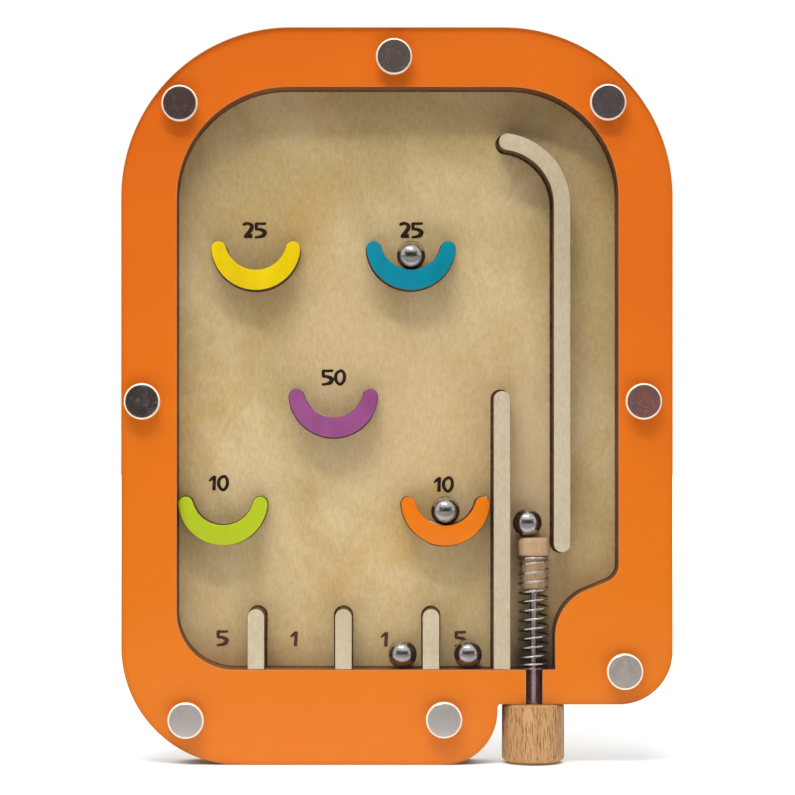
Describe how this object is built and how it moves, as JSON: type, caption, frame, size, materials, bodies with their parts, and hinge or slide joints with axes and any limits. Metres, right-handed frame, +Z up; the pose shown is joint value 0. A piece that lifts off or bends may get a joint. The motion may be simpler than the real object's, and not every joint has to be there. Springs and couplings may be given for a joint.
{
  "type": "bagatelle board game",
  "caption": "Upright bagatelle game: a spring plunger shoots steel balls up a lane, and they fall into painted scoring cups and bins behind a clear cover.",
  "frame": {"origin": "bottom of the foot, halfway across the width, in the middle of the thickness", "axes": "+X to the player's right, +Y away from the player, +Z up"},
  "size_m": [0.19, 0.0216, 0.254],
  "materials": {
    "birch_board": "clear-coated birch plywood, burnt brown at the laser-cut edges",
    "painted_rim": "smooth orange paint on the front, burnt brown laser-cut edges",
    "clear_acrylic": "clear polished sheet",
    "post_steel": "bright plated steel with fine scratches",
    "yellow_paint": "satin paint on birch",
    "teal_paint": "satin paint on birch",
    "purple_paint": "satin paint on birch",
    "green_paint": "satin paint on birch",
    "orange_paint": "satin paint on birch",
    "strip_birch": "pale birch face, burnt brown edges",
    "bush_steel": "drawn steel tube",
    "spring_steel": "bright spring wire",
    "rod_steel": "drawn steel rod",
    "tip_wood": "turned beech",
    "knob_wood": "turned oak, oiled",
    "ball_steel": "polished bearing steel"
  },
  "bodies": {
    "case": {"back_board": "birch_board", "rim_frame": "painted_rim", "clear_cover": "clear_acrylic", "post_caps": "post_steel", "post_screws": "post_steel", "cup_yellow": "yellow_paint", "cup_teal": "teal_paint", "cup_purple": "purple_paint", "cup_green": "green_paint", "cup_orange": "orange_paint", "lane_divider_1": "strip_birch", "lane_divider_2": "strip_birch", "lane_divider_3": "strip_birch", "launch_wall": "strip_birch", "hook_guide": "strip_birch", "guide_bush": "bush_steel", "plunger_spring": "spring_steel"},
    "plunger": {"plunger_rod": "rod_steel", "plunger_tip": "tip_wood", "plunger_knob": "knob_wood"},
    "ball_1": {"ball_1": "ball_steel"},
    "ball_2": {"ball_2": "ball_steel"},
    "ball_3": {"ball_3": "ball_steel"},
    "ball_4": {"ball_4": "ball_steel"},
    "ball_5": {"ball_5": "ball_steel"}
  },
  "joints": [
    {"name": "plunger_pull", "type": "slide", "parent": "case", "child": "plunger", "axis": [0, 0, -1], "range_m": [0, 0.025], "stiffness_N_per_m": 120, "springref_m": -0.01, "deforming": ["plunger_spring"]},
    {"name": "ball_1_lift", "type": "slide", "parent": "case", "child": "ball_1", "axis": [0, 0, 1], "range_m": [0, 0.05]},
    {"name": "ball_2_lift", "type": "slide", "parent": "case", "child": "ball_2", "axis": [0, 0, 1], "range_m": [0, 0.07]},
    {"name": "ball_3_lift", "type": "slide", "parent": "case", "child": "ball_3", "axis": [0, 0, 1], "range_m": [0, 0.115]},
    {"name": "ball_4_lift", "type": "slide", "parent": "case", "child": "ball_4", "axis": [0, 0, 1], "range_m": [0, 0.038]},
    {"name": "ball_5_lift", "type": "slide", "parent": "case", "child": "ball_5", "axis": [0, 0, 1], "range_m": [0, 0.033]}
  ]
}
